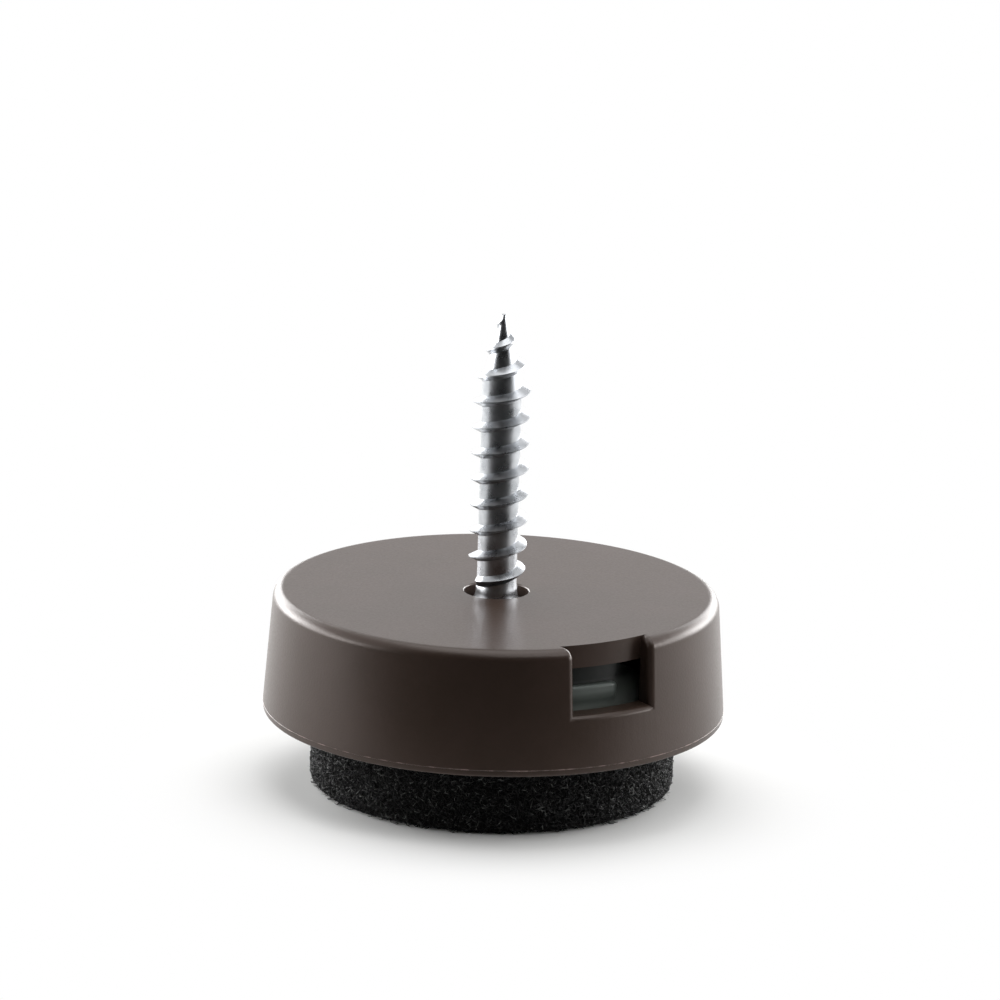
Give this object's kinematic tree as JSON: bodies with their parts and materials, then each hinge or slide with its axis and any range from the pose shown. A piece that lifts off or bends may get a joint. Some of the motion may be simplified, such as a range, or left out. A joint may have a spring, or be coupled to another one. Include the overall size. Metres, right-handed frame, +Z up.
{
  "type": "screw-in furniture glide",
  "caption": "Round tapered plastic glide screwed under a furniture leg, with a pry notch in its skirt and a click-in felt insert that slides on hard floors.",
  "frame": {"origin": "on the floor, under the middle of the felt pad", "axes": "+Z up along the screw, into the leg; -Y through the middle of the pry notch; +X to the notch's right seen from outside"},
  "size_m": [0.028, 0.028, 0.0291],
  "materials": {
    "brown_plastic": "satin moulded, dark brown",
    "zinc_steel": "bright zinc plated",
    "grey_plastic": "translucent grey, moulded",
    "felt": "charcoal needle felt"
  },
  "bodies": {
    "fixed_base": {"base": "brown_plastic", "screw": "zinc_steel"},
    "insert": {"insert_carrier": "grey_plastic", "felt_pad": "felt"}
  },
  "joints": [
    {"name": "insert_release", "type": "slide", "parent": "fixed_base", "child": "insert", "axis": [0, 0, -1], "range_m": [0, 0.01]}
  ]
}
